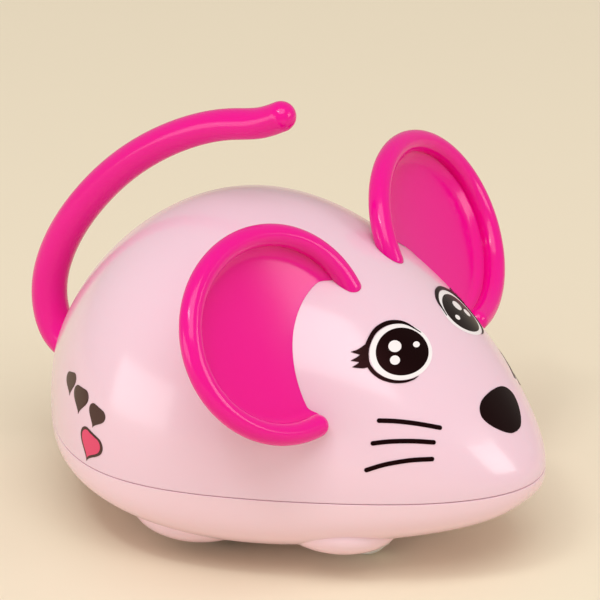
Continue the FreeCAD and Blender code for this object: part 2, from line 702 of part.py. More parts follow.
def mainspring():
    """A flat strip wound into a spiral of half circles, with its outer end hooked round a pillar."""
    x, z = winding_centre()
    inner, outer = SPRING_RADII
    growth = (outer - inner) / (SPRING_HALF_TURNS - 1)
    half = SPRING_STRIP / 2
    strips = []
    for k in range(SPRING_HALF_TURNS):
        radius = inner + growth * k
        centre = Vector(growth if k % 2 else 0.0, 0, 0)
        side = 1 if k % 2 == 0 else -1
        left = centre - Vector(radius, 0, 0)
        right = centre + Vector(radius, 0, 0)
        nudge = Vector(half, 0, 0)
        over = Vector(0, 0, side * (radius + half))
        under = Vector(0, 0, side * (radius - half))
        outline = Part.Wire(
            [
                Part.Arc(left - nudge, centre + over, right + nudge).toShape(),
                Part.makeLine(right + nudge, right - nudge),
                Part.Arc(right - nudge, centre + under, left + nudge).toShape(),
                Part.makeLine(left + nudge, left - nudge),
            ]
        )
        strips.append(Part.Face(outline))

    # The straight end leaves the last half circle at its left end, heading down, and meets the hook.
    post_x, post_z = PILLARS[1]
    hook = PILLAR_RADIUS + half + RUNNING
    distance = math.hypot(post_x - x, post_z - z)
    run = math.sqrt(distance**2 - (outer + hook) ** 2)
    near, far = half - outer, -half - outer
    corners = [Vector(a, 0, c) for a, c in ((far, 0), (near, 0), (near, -run), (far, -run), (far, 0))]
    strips.append(Part.Face(Part.makePolygon(corners)))
    middle = Vector(-outer - hook, 0, -run)
    rings = [Part.Wire(Part.makeCircle(r, middle, Vector(0, 1, 0))) for r in (hook + half, hook - half)]
    strips.append(Part.Face(rings[0]).cut(Part.Face(rings[1])))

    width = Vector(0, SPRING_Y[1] - SPRING_Y[0], 0)
    spring = united([s.extrude(width) for s in strips]).removeSplitter()
    hook_angle = math.atan2(-run, -outer - hook)
    turn = math.degrees(math.atan2(post_z - z, post_x - x) - hook_angle)
    spring.rotate(Vector(0, 0, 0), Vector(0, 1, 0), -turn)
    return spring.translated(Vector(x, SPRING_Y[0], z))


def winding_key():
    """A butterfly key on a round stem, with a bore that matches the arbor's flat."""
    x, z = winding_centre()
    radius, offset, middle = KEY_WING
    half = KEY_WING_THICKNESS / 2
    hub_radius, hub_start, hub_end = KEY_HUB
    hub = rounded_ring_y(KEY_STEM / 2, hub_radius, (hub_start, hub_end), 0.5, x, z)
    wings = [rod_z(radius, x + side * offset, middle, (z - half, z + half)) for side in (-1, 1)]
    web = box((x - offset, x + offset), (hub_start + 3, middle + 2.4), (z - half, z + half))
    wing = united(wings + [web])
    eyes = [rod_z(KEY_EYE, x + side * (offset + 0.4), middle, (z - 3, z + 3)) for side in (-1, 1)]
    wing = wing.cut(united(eyes))
    stem = rod_y(KEY_STEM, x, z, (KEY_END_Y, hub_end))
    bore = rod_y(ARBOR_RADIUS + KEY_FIT, x, z, (KEY_END_Y - 1, ARBOR_END_Y + SIDE_PLAY))
    bore = bore.cut(box((x - 3, x + 3), (KEY_END_Y - 2, hub_end), (z + ARBOR_FLAT + KEY_FIT, z + 3)))
    return united([hub, wing, stem]).cut(bore)


# ---- motor frame ----
def motor_plate_right():
    """A flat plate with a bearing hole for each shaft, holes for the pillars and two lugs bent outward."""
    points = [Vector(x, -PLATE_Y, z) for x, z in PLATE_OUTLINE]
    plate = Part.Face(Part.makePolygon(points + points[:1])).extrude(Vector(0, -PLATE_THICKNESS, 0))
    corners = [e for e in plate.Edges if e.BoundBox.YLength > PLATE_THICKNESS / 2 > e.BoundBox.ZLength]
    plate = plate.makeFillet(1.2, corners)
    outer = -PLATE_Y - PLATE_THICKNESS
    depth = (outer - 1, 1 - PLATE_Y)
    holes = [
        rod_y(AXLE_RADIUS + RUNNING, *REAR_AXLE, depth),
        rod_y(ARBOR_RADIUS + RUNNING, *winding_centre(), depth),
        rod_y(AXLE_RADIUS + RUNNING, *second_centre(), depth),
        rod_y(THIN_SHAFT + RUNNING, *governor_centre(), depth),
    ]
    holes += [rod_y(TENON[0], *pillar, depth) for pillar in PILLARS]
    length, reach = LUG_SIZE
    lugs = []
    for x in LUG_X:
        sides = (x - length / 2, x + length / 2)
        lug = box(sides, (outer - reach, -PLATE_Y), (LUG_Z, LUG_Z + PLATE_THICKNESS))
        upright = [e for e in lug.Edges if e.BoundBox.ZLength > PLATE_THICKNESS / 2]
        tips = [e for e in upright if e.BoundBox.YMax < outer - 1]
        lugs.append(lug.makeFillet(1.5, tips))
        holes.append(rod_z(SCREW_RADIUS + SCREW_FIT, x, outer - reach / 2, (LUG_Z - 1, LUG_Z + 2)))
    return plate.multiFuse(lugs).cut(united(holes))


def motor_pillars():
    radius, head_radius, head = TENON
    outer = PLATE_Y + PLATE_THICKNESS
    pillars = []
    for x, z in PILLARS:
        body = rod_y(PILLAR_RADIUS, x, z, (-PLATE_Y, PLATE_Y))
        tenon = rod_y(radius, x, z, (-outer, outer))
        ends = ((-outer - head, -outer), (outer, outer + head))
        heads = [rod_y(head_radius, x, z, sides) for sides in ends]
        pillars.append(united([body, tenon] + heads))
    return Part.makeCompound(pillars)


# ---- fasteners ----
def screw(x, y, seat, length, up):
    """A pan-head screw with a cross slot. seat is the height its head rests on; up is +1 if it points up."""
    radius, height = SCREW_HEAD
    head = Part.makeCylinder(radius, height)
    crown = [e for e in head.Edges if e.BoundBox.ZMin > height / 2]
    head = head.makeFillet(height * 0.45, crown)
    width, depth = SCREW_SLOT
    arms = [
        box((-radius * 0.6, radius * 0.6), (-width / 2, width / 2), (height - depth, height)),
        box((-width / 2, width / 2), (-radius * 0.6, radius * 0.6), (height - depth, height)),
    ]
    shank = Part.makeCylinder(SCREW_RADIUS, length - 0.6, Vector(0, 0, 0.6 - length))
    point = Part.makeCone(SCREW_RADIUS * 0.3, SCREW_RADIUS, 0.6, Vector(0, 0, -length))
    shape = united([head, shank, point]).cut(united(arms))
    if up > 0:
        shape.rotate(Vector(0, 0, 0), Vector(1, 0, 0), 180)
    return shape.translated(Vector(x, y, seat))


def shell_screws():
    length = BOSS_TOP - SEAT_Z + POST_DEPTH
    return Part.makeCompound([screw(x, y, SEAT_Z, length, 1) for x, y in SHELL_SCREWS])


def motor_screws():
    y = PLATE_Y + PLATE_THICKNESS + LUG_SIZE[1] / 2
    seat = LUG_Z + PLATE_THICKNESS
    places = [(x, side * y) for x in LUG_X for side in (-1, 1)]
    return Part.makeCompound([screw(*place, seat, MOTOR_SCREW_LENGTH, -1) for place in places])


# ---- wheels ----
def rear_axle():
    x, z = REAR_AXLE
    end = REAR_WHEEL_Y[1] + SHAFT_END
    return rod_y(AXLE_RADIUS, x, z, (-end, end))


def front_axle():
    x, z = FRONT_AXLE
    end = FRONT_WHEEL_Y[1] + SHAFT_END
    return rod_y(AXLE_RADIUS, x, z, (-end, end))


def rear_wheel_right():
    """A dished wheel with a groove for its tyre, pressed on the axle."""
    x, z = REAR_AXLE
    inner, outer = -REAR_WHEEL_Y[1], -REAR_WHEEL_Y[0]
    seat = z - TYRE_THICKNESS
    flange = seat + TYRE_GROOVE
    face = [
        (AXLE_RADIUS, 0.0),
        (WHEEL_HUB - WHEEL_EDGE, 0.0),
        (WHEEL_HUB, WHEEL_EDGE),
        (WHEEL_HUB, WHEEL_DISH),
        (seat - 1.6, WHEEL_DISH),
        (seat - 1.0, 0.0),
        (flange - WHEEL_EDGE / 2, 0.0),
        (flange, WHEEL_EDGE / 2),
        (flange, FLANGE),
        (seat, FLANGE),
    ]
    outline = [(r, inner + depth) for r, depth in face] + [(r, outer - depth) for r, depth in reversed(face)]
    return ring_y(outline, x, z)


def rear_tyre_right():
    x, z = REAR_AXLE
    side = FLANGE + 0.02
    inner, outer = side - REAR_WHEEL_Y[1], -REAR_WHEEL_Y[0] - side
    tyre = rounded_ring_y(z - TYRE_THICKNESS, z, (inner, outer), 0.5, x, z)
    offset, half, depth = TREAD
    floor = z - depth
    grooves = [
        ring_y([(floor, y - half), (z + 1, y - half), (z + 1, y + half), (floor, y + half)], x, z)
        for y in (inner + offset, outer - offset)
    ]
    return tyre.cut(united(grooves))


def front_wheel_right():
    """A plain moulded wheel with a hub and a thinner web."""
    x, z = FRONT_AXLE
    inner, outer = -FRONT_WHEEL_Y[1], -FRONT_WHEEL_Y[0]
    hub = WHEEL_HUB - WHEEL_EDGE
    face = [
        (AXLE_RADIUS, 0.0),
        (hub - WHEEL_EDGE, 0.0),
        (hub, WHEEL_EDGE),
        (hub, 0.9),
        (z - 1.8, 0.9),
        (z - 1.4, 0.3),
        (z - 0.6, 0.1),
        (z - 0.15, 0.4),
        (z, 0.8),
    ]
    outline = [(r, inner + depth) for r, depth in face] + [(r, outer - depth) for r, depth in reversed(face)]
    return ring_y(outline, x, z)


NODES = {
    "upper_shell": upper_shell,
    "lower_shell": lower_shell,
    "ear_right": lambda: ear(-1),
    "ear_left": lambda: ear(1),
    "tail": tail,
    "shell_screws": shell_screws,
    "motor_plate_right": motor_plate_right,
    "motor_plate_left": lambda: mirrored(motor_plate_right()),
    "motor_pillars": motor_pillars,
    "motor_screws": motor_screws,
    "mainspring": mainspring,
    "winding_arbor": winding_arbor,
    "clutch_collar": clutch_collar,
    "clutch_spring": clutch_spring,
    "winding_key": winding_key,
    "great_wheel": great_wheel,
    "second_arbor": second_arbor,
    "second_pinion": second_pinion,
    "second_wheel": second_wheel,
    "governor_arbor": governor_arbor,
    "governor_pinion": governor_pinion,
    "governor_flywheel": governor_flywheel,
    "rear_axle": rear_axle,
    "drive_pinion": drive_pinion,
    "rear_wheel_right": rear_wheel_right,
    "rear_wheel_left": lambda: mirrored(rear_wheel_right()),
    "rear_tyre_right": rear_tyre_right,
    "rear_tyre_left": lambda: mirrored(rear_tyre_right()),
    "front_axle": front_axle,
    "front_wheel_right": front_wheel_right,
    "front_wheel_left": lambda: mirrored(front_wheel_right()),
}


def export():
    """Builds every piece, moves it so that the origin is under the toy's middle, and writes it."""
    os.makedirs("parts", exist_ok=True)
    forward = -(tail_rod().optimalBoundingBox(False).XMin + BODY_LENGTH / 2) / 2
    for name, build in NODES.items():
        shape = build().translated(Vector(forward, 0, 0))
        solids = shape.Solids
        print(f"{name}: {len(solids)} solid(s), valid {shape.isValid()}, {shape.Volume:.1f} mm3")
        if len(solids) == 1:
            shape = solids[0]
        shape.exportStep(f"parts/{name}.step")
    print(f"moved forward by {forward:.4f} mm")


export()
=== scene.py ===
import math

import bmesh
import bpy
import numpy as np
from mathutils import Matrix, Vector


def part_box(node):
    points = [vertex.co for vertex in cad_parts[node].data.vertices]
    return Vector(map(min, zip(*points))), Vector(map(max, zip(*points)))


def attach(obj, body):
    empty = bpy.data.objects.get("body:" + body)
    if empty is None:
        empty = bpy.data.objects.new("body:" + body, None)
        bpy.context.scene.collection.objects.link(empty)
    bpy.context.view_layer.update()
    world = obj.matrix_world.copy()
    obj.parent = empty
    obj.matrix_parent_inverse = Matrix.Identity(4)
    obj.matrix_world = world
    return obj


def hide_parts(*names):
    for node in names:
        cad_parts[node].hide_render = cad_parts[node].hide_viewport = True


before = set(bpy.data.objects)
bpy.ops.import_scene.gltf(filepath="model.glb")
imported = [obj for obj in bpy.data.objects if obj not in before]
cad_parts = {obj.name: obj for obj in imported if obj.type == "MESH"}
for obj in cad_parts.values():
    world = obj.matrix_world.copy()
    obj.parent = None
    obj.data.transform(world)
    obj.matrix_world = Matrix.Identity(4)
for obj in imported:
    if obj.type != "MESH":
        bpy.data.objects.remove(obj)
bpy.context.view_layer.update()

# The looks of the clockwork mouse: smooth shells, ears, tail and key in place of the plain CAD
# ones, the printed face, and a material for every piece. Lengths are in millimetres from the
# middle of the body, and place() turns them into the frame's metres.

MM = 0.001

# ---- the body, as the CAD model has it ----
SHELL_LOW, SHELL_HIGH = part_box("upper_shell")
MIDDLE_X = (SHELL_LOW.x + SHELL_HIGH.x) / 2
BODY_LENGTH = (SHELL_HIGH.x - SHELL_LOW.x) / MM
ALMOST_ONE = 0.99999  # keeps sections off the body's two tips
# half width, back height and belly depth, evenly spaced in angle from the rump to the nose
STATIONS = np.array([
    (16.0, 23.9, 15.4), (33.7, 38.7, 11.0), (36.3, 39.4, 14.3),
    (28.6, 28.8, 13.3), (26.2, 16.5, 15.6),
])
POWERS = {True: 2.1, False: 3.0}  # superellipse power above and below the seam
SEAM_Z = 17.4
SEAM_HALF_GAP = 0.07
SEAM_ROUND = 0.19  # radius of the shells' edges along the seam
WALL = 1.5
CUT_FLOOR = 4  # how far under the seam the lip and its rebate are cut off
LIP = 0.7  # thickness of the lower shell's lip
LIP_TOP = 1.4  # its height over the seam
LIP_SKIRT = 0.9  # how far it goes down inside the lower shell
LIP_PLAY = (0.08, 0.15)  # gap beside it and over it
LIP_THINNER = 0.05  # how much thinner it is on its inner side than the wall
SKIRT = 3.0  # how far a cutting shape reaches past the seam
BEYOND = 60  # half the width of a slab that is wider than the body

# ---- ears ----
EAR_CENTRE = (14.0, 26.9, 47.2)
EAR_SPLAY = math.radians(10.3)  # turned out from straight ahead
EAR_TILT = math.radians(28.3)  # leant back from upright
EAR_RADII = (22.1, 19.25)  # to the rim's outside: across, and up
EAR_BEAD = 2.0  # radius of the rolled rim
EAR_RIM_ENDS = (8.0, 273.0)  # degrees, for the right ear
EAR_PLAY = 0.06  # gap between an ear and the head

# ---- tail ----
TAIL_PATH = [  # x, z of its centreline, from the root to the tip
    (-45.0, 20.9), (-49.4, 22.5), (-52.2, 28.6), (-50.7, 38.4), (-43.9, 50.0),
    (-34.8, 59.6), (-22.8, 67.7), (-12.4, 71.7), (-6.4, 73.2), (-2.3, 75.2),
]
TAIL_RADII = (3.4, 2.75)  # at the root and at the tip
TAIL_PLAY = 0.12  # gap round the tail where it enters the shells
TAIL_PLUG = (4.9, (-44.2, 0, 20.6), (-42.4, 0, 20.0))  # the flange inside: radius and its two ends

# ---- paws under the body ----
PAW_SIZE = (11.6, 9.6, 5.0)  # radii along, across and up
FRONT_PAW = (19.4, 16.0, 9.1)  # centre, mirrored to the other side
REAR_PAW = (-6.6, 22.0, 7.35)
PAW_LEVELS = (-5, 14)  # z between which the paws stand out of the belly

# ---- running gear and fasteners, where they open the belly ----
REAR_AXLE = (-9.0, 9.5)  # x, z
FRONT_AXLE = (20.0, 6.5)
REAR_WHEEL_Y = (12.5, 17.5)  # each wheel's two faces
FRONT_WHEEL_Y = (6.6, 10.4)
WHEEL_PLAY = 1  # gap round a wheel in its slot
SLOT_LEVELS = (-1, SEAM_Z - 2)
WINDING = (-17.0, 24.5)  # x, z of the key's axis
KEY_HOLE = (2.8, 20, 50)  # radius, and y of the ends of the hole for the key in the left flank
KEY_STEM = (2.4, 24.0, 43.0)
KEY_HUB = (3.3, 37.3, 43.0)
KEY_HUB_ROUND = 0.7
KEY_BORE = (1.52, 38.1, 1.02)  # radius, y of its end, height of its flat
KEY_WING = (4.7, 4.2, 43.8)  # radius, offset to each side, y of the middle
KEY_HALF_THICKNESS = 1.3
KEY_WING_ROUND = 0.5  # radius of the edges of the wings and the web
KEY_EYE = (1.9, 4.6)  # radius of the hole in each wing, and its offset
KEY_EYE_ROUND = 0.4
KEY_WEB = (40.3, 46.2, 1.2)  # y of its two ends, and its corners' radius
KEY_WEB_THINNER = 0.12  # than the wings, so that no two faces coincide
SCREWS = [(-37.0, 11.0), (-37.0, -11.0), (38.0, 0.0)]
MOTOR_BOSSES = [(-25.0, 13.0), (-25.0, -13.0), (5.0, 13.0), (5.0, -13.0)]
SCREW_BOSS = (3.4, 5, 15.4)  # radius, and z of its two ends
SCREW_HEAD_WELL = (2.6, 0, 13.6)
SCREW_HOLE = (1.25, 0, 16)
MOTOR_BOSS = (2.5, 2, 13.0)
BEARING_Y = (2.6, 5.0)  # each front bearing's two faces
BEARING_BLOCK = (3.0, 3.4)  # how far a bearing's block goes from the axle to the sides and up
BEARING_BORE = (1.05, 0.3)  # radius, and how far it goes past a bearing
BEARING_RELIEF = (1.4, 0.6)  # the wider bore beside the bearings
BEARING_MOUTH = (0.85, 0.5, 5)  # half width of the slot over the axle, past a bearing, and up
BELLY_PAD = ((3, -8, 2.5), (11, 8, 4.2), 1.0)  # low corner, high corner, corner radius


# ---- meshes ----
def place(points):
    """Millimetres from the body's middle to the frame's metres."""
    points = np.asarray(points, float) * MM
    points[..., 0] += MIDDLE_X
    return points


def new_object(name, points, faces):
    """A smooth-shaded object in the scene, from points in millimetres."""
    mesh = bpy.data.meshes.new(name)
    mesh.from_pydata([tuple(p) for p in place(points).reshape(-1, 3)], [], faces)
    mesh.validate()
    mesh.polygons.foreach_set("use_smooth", [True] * len(mesh.polygons))
    obj = bpy.data.objects.new(name, mesh)
    bpy.context.scene.collection.objects.link(obj)
    return obj


def grid_faces(rows, columns):
    """Quads between the rows of a grid whose last column joins its first."""
    faces = []
    for row in range(rows - 1):
        for c in range(columns):
            here, after = row * columns + c, row * columns + (c + 1) % columns
            faces.append((here, after, after + columns, here + columns))
    return faces


def capped_grid(name, rings):
    """A closed surface through rings of points, with a flat face at each end."""
    rings = np.asarray(rings, float)
    rows, columns, _ = rings.shape
    faces = grid_faces(rows, columns)
    faces.append(tuple(reversed(range(columns))))
    faces.append(tuple((rows - 1) * columns + c for c in range(columns)))
    obj = new_object(name, rings, faces)
    outward(obj)
    return obj


def outward(obj):
    """Turns all faces to the outside."""
    bm = bmesh.new()
    bm.from_mesh(obj.data)
    bmesh.ops.recalc_face_normals(bm, faces=bm.faces)
    bm.to_mesh(obj.data)
    bm.free()


def joined(parts):
    """One mesh holding several separate shapes."""
    points, faces = [], []
    for part in parts:
        first = len(points)
        points += [v.co.copy() for v in part.data.vertices]
        faces += [[first + i for i in face.vertices] for face in part.data.polygons]
        bpy.data.objects.remove(part)
    mesh = bpy.data.meshes.new("joined")
    mesh.from_pydata(points, [], faces)
    obj = bpy.data.objects.new("joined", mesh)
    bpy.context.scene.collection.objects.link(obj)
    return obj


def bake_modifiers(obj):
    """Puts what the modifiers make into the mesh."""
    graph = bpy.context.evaluated_depsgraph_get()
    baked = bpy.data.meshes.new_from_object(obj.evaluated_get(graph))
    obj.modifiers.clear()
    obj.data = baked
    return obj


def boolean(obj, other, operation):
    """Cuts obj with, or joins it to, another object, which is used up."""
    cut = obj.modifiers.new("boolean", "BOOLEAN")
    cut.object = other
    cut.operation = operation
    cut.solver = "EXACT"
    bpy.context.view_layer.update()
    bake_modifiers(obj)
    bpy.data.objects.remove(other)
    return obj


def sharpen(obj, degrees=32):
    """Smooth shading, except at edges that turn by more than an angle."""
    obj.data.polygons.foreach_set("use_smooth", [True] * len(obj.data.polygons))
    obj.data.set_sharp_from_angle(angle=math.radians(degrees))
    return obj


def round_angles(count):
    """Angles evenly round a circle."""
    return np.linspace(0, 2 * math.pi, count + 1)[:-1]


def circle_points(radius, height, sides):
    """A ring of points round the z axis."""
    angles = round_angles(sides)
    return [Vector((radius * math.cos(t), radius * math.sin(t), height)) for t in angles]


def cylinder(radius, start, end, sides=64):
    start, end = Vector(start), Vector(end)
    turn = (end - start).to_track_quat("Z", "Y")
    circle = circle_points(radius, 0, sides)
    return capped_grid("cylinder", [[tuple(p + turn @ c) for c in circle] for p in (start, end)])


def rounded_levels(low, high, edge, steps=7):
    """Pairs of inset and height that round off both ends of a shape."""
    angles = np.linspace(0, math.pi / 2, steps)
    start = [(edge * (1 - math.sin(a)), low + edge * (1 - math.cos(a))) for a in angles]
    return start + [(inset, low + high - level) for inset, level in reversed(start)]


def rounded_box(low, high, corner=1.5, steps=6, edge=0.0):
    """A box whose upright edges are round, and the others too if there is an edge radius."""
    rings = []
    flat_ends = ((0, low[2]), (0, high[2]))
    for inset, z in rounded_levels(low[2], high[2], edge) if edge else flat_ends:
        radius = corner - inset
        ring = []
        for k, (sx, sy) in enumerate(((1, 1), (-1, 1), (-1, -1), (1, -1))):
            cx = (high[0] - corner) if sx > 0 else (low[0] + corner)
            cy = (high[1] - corner) if sy > 0 else (low[1] + corner)
            for t in np.radians(np.linspace(k * 90, k * 90 + 90, steps)):
                ring.append((cx + radius * math.cos(t), cy + radius * math.sin(t), z))
        rings.append(ring)
    return capped_grid("box", rings)


def turned(profile, centre, axis, sides=72):
    """A solid of revolution, from pairs of radius and height along its axis."""
    turn = Vector(axis).to_track_quat("Z", "Y")
    rings = []
    for radius, height in profile:
        ring = circle_points(radius, height, sides)
        rings.append([tuple(Vector(centre) + turn @ point) for point in ring])
    return capped_grid("turned", rings)


# ---- body surface ----
def fullness(u):
    """Half width, back and belly at angles along the body: a cosine series through the stations."""
    k = np.arange(len(STATIONS))
    last = len(STATIONS) - 1
    ends = np.where((k == 0) | (k == last), 0.5, 1.0)
    series = (np.cos(np.pi * np.outer(k, k) / last) * ends) @ STATIONS * ends[:, None] * 2 / last
    return np.cos(np.outer(u, k)) @ series


def extents(u, upper, inset):
    """Half width and height of the section at angles along the body."""
    size = fullness(u)
    full = size[:, 1] if upper else size[:, 2]
    return (size[:, 0] - inset) * np.sin(u), (full - inset) * np.sin(u)


def half_body(name, upper, inset=0.0, edge=0.0, corner=0.0, skirt=0.0, along=150, around=96):
    """A closed solid above or below the seam. edge lifts its flat side off the seam, corner rounds
    the edge of that side, and skirt carries the side past the seam instead."""
    power = POWERS[upper]
    sign = 1 if upper else -1
    tall = STATIONS[0][1 if upper else 2]
    # the sections at both ends have to be taller than the edge and its corner, and no points
    first = math.asin(max((edge + 1.3 * corner) / (tall * 0.9), 0.012))
    u = np.linspace(first, math.pi - first, along)
    width, height = extents(u, upper, inset)
    start = np.clip((edge + corner) / height, 0, 0.98)
    angle = np.arctan2(start, (1 - start**power) ** (1 / power))

    def section(angles):
        c, s = np.cos(angles), np.sin(angles)
        r = (np.abs(c) ** power + np.abs(s) ** power) ** (1 / power)
        x = -np.cos(u) * (BODY_LENGTH / 2 - inset)
        return np.stack([x, -width * c / r, SEAM_Z + sign * height * s / r], 1)

    rows = [section(angle + (math.pi - 2 * angle) * k / (around - 1)) for k in range(around)]

    def below(base, inward, offset):
        """A side row of the section moved in, at a height from the seam."""
        row = base.copy()
        row[:, 0] += np.cos(u) * inward
        row[:, 1] *= 1 - inward / np.maximum(width, 2 * inward + 0.01)
        row[:, 2] = SEAM_Z + sign * offset
        return row

    turns = np.radians((30, 60, 90))
    steps = [(corner * (1 - math.cos(t)), edge + corner * (1 - math.sin(t))) for t in turns]
    if skirt:
        steps = [(0.0, -skirt)]
    left = [below(rows[0], *step) for step in reversed(steps)]
    right = [below(rows[-1], *step) for step in steps]
    return capped_grid(name, np.stack(left + rows + right, 1))


def section_at(points, upper):
    """Half width and height of the body's section at each point."""
    u = np.arccos(np.clip(-points[:, 0] / (BODY_LENGTH / 2), -ALMOST_ONE, ALMOST_ONE))
    return extents(u, upper, 0.0)


def body_level(points, upper=True):
    """Below 1 inside a half of the body, above 1 outside, raised to that half's power."""
    width, height = section_at(points, upper)
    power = POWERS[upper]
    return np.abs(points[:, 1] / width) ** power + np.abs((points[:, 2] - SEAM_Z) / height) ** power


def skin_normal(points, upper):
    """The body surface's outward direction at points, in millimetres."""
    points = np.asarray(points, float)
    steps = np.eye(3) * 0.02
    rises = [body_level(points + d, upper) - body_level(points - d, upper) for d in steps]
    gradient = np.stack(rises, 1)
    return gradient / np.maximum(np.linalg.norm(gradient, axis=1), 1e-9)[:, None]


def analytic_normals(obj, upper, tolerance=0.02):
    """Gives the faces that lie on the body's outer surface its exact normals, so that reflections
    run smoothly past the openings. Faces at its two tips are left as they are."""
    mesh = obj.data
    count = len(mesh.vertices)
    points = np.empty(count * 3)
    mesh.vertices.foreach_get("co", points)
    points = points.reshape(-1, 3)
    points[:, 0] -= MIDDLE_X
    points /= MM
    exact = skin_normal(points, upper)
    width, height = section_at(points, upper)
    depth = (1 - body_level(points, upper) ** (1 / POWERS[upper])) * np.minimum(width, height)
    on_skin = (np.abs(depth) < tolerance) & (np.abs(points[:, 0]) < BODY_LENGTH / 2 - 0.3)
    normals = [Vector(n.vector) for n in mesh.corner_normals]
    for face in mesh.polygons:
        for loop in face.loop_indices:
            v = mesh.loops[loop].vertex_index
            if on_skin[v] and Vector(exact[v]).dot(face.normal) > 0.9:
                normals[loop] = Vector(exact[v])
    mesh.normals_split_custom_set(normals)


# ---- tail ----
def tail_curve(count):
    """Points evenly along a cubic spline through the tail's path, and the directions there."""
    knots = np.array(TAIL_PATH)
    chord = np.concatenate([[0], np.cumsum(np.linalg.norm(np.diff(knots, axis=0), axis=1))])
    gaps = np.diff(chord)
    n = len(knots)
    matrix, slopes = np.eye(n), np.zeros((n, 2))
    for k in range(1, n - 1):
        before, after = gaps[k - 1], gaps[k]
        matrix[k, k - 1 : k + 2] = before, 2 * (before + after), after
        slopes[k] = 6 * ((knots[k + 1] - knots[k]) / after - (knots[k] - knots[k - 1]) / before)
    bend = np.linalg.solve(matrix, slopes)

    def at(t):
        k = np.clip(np.searchsorted(chord, t, side="right") - 1, 0, n - 2)
        h, a, b = gaps[k][:, None], (chord[k + 1] - t)[:, None], (t - chord[k])[:, None]
        cubic = (bend[k] * a**3 + bend[k + 1] * b**3) / (6 * h)
        start, end = knots[k] / h - bend[k] * h / 6, knots[k + 1] / h - bend[k + 1] * h / 6
        return cubic + start * a + end * b

    dense = np.linspace(0, chord[-1], 2000)
    line = at(dense)
    travel = np.concatenate([[0], np.cumsum(np.linalg.norm(np.diff(line, axis=0), axis=1))])
    spots = at(np.interp(np.linspace(0, travel[-1], count), travel, dense))
    return spots, np.gradient(spots, axis=0)


def tail_rod(extra=0.0, count=220, sides=48):
    """The tail as a solid with a round tip, thicker all over by extra."""
    spots, along = tail_curve(count)
    rings = []

    def ring(spot, way, radius):
        way = way / np.linalg.norm(way)
        out = np.array((-way[1], way[0]))
        points = []
        for t in round_angles(sides):
            x, z = spot + radius * math.cos(t) * out
            points.append((x, radius * math.sin(t), z))
        return points

    for k in range(count):
        radius = TAIL_RADII[0] + (TAIL_RADII[1] - TAIL_RADII[0]) * k / (count - 1) + extra
        rings.append(ring(spots[k], along[k], radius))
    way = along[-1] / np.linalg.norm(along[-1])
    radius = TAIL_RADII[1] + extra
    for t in np.radians(np.linspace(6, 88, 16)):
        rings.append(ring(spots[-1] + way * radius * math.sin(t), way, radius * math.cos(t)))
    return capped_grid("tail_rod", rings)


# ---- shells ----
def slab(low, high):
    """A block wider than the body, from one height to another."""
    return rounded_box((-BEYOND, -BEYOND, low), (BEYOND, BEYOND, high))


def inner_body(upper, inset, along=90, around=60):
    """A shape to cut with: half the body, set in, and reaching past the seam."""
    return half_body("inner", upper, inset=inset, skirt=SKIRT, along=along, around=around)


def upper_shell():
    shell = half_body("shell_top", True, edge=SEAM_HALF_GAP, corner=SEAM_ROUND)
    boolean(shell, inner_body(True, WALL), "DIFFERENCE")
    beside, over = LIP_PLAY
    rebate = inner_body(True, WALL - LIP - beside, along=110)
    boolean(rebate, slab(SEAM_Z - CUT_FLOOR, SEAM_Z + LIP_TOP + over), "INTERSECT")
    boolean(shell, rebate, "DIFFERENCE")
    x, z = WINDING
    radius, start, end = KEY_HOLE
    boolean(shell, cylinder(radius, (x, start, z), (x, end, z)), "DIFFERENCE")
    boolean(shell, tail_rod(TAIL_PLAY, sides=40), "DIFFERENCE")
    sharpen(shell)
    analytic_normals(shell, True)
    return shell


def upright(shape, x, y, sides=64):
    """A vertical cylinder of a radius, from one height to another."""
    radius, low, high = shape
    return cylinder(radius, (x, y, low), (x, y, high), sides)


def wheel_slots():
    """Cuts for the wheels. They touch the floor, so a wheel's radius is its axle's height."""
    bottom, top = SLOT_LEVELS
    for (x, z), (near, far) in ((REAR_AXLE, REAR_WHEEL_Y), (FRONT_AXLE, FRONT_WHEEL_Y)):
        for side in (-1, 1):
            low, high = sorted((side * (near - WHEEL_PLAY), side * (far + WHEEL_PLAY)))
            reach = z + WHEEL_PLAY
            yield rounded_box((x - reach, low, bottom), (x + reach, high, top))


def ellipsoid(centre, radii, rows=48, columns=72):
    rings = []
    for polar in np.linspace(0.02, math.pi - 0.02, rows):
        wide, high = math.sin(polar), -math.cos(polar)
        unit = [(wide * math.cos(t), wide * math.sin(t), high) for t in round_angles(columns)]
        rings.append(np.add(np.multiply(unit, radii), centre))
    return capped_grid("paw", rings)


def paws(inset):
    """The four paws, smaller all round by the inset."""
    for x, y, z in (FRONT_PAW, REAR_PAW):
        for side in (-1, 1):
            yield ellipsoid((x, side * y, z), [size - inset for size in PAW_SIZE])


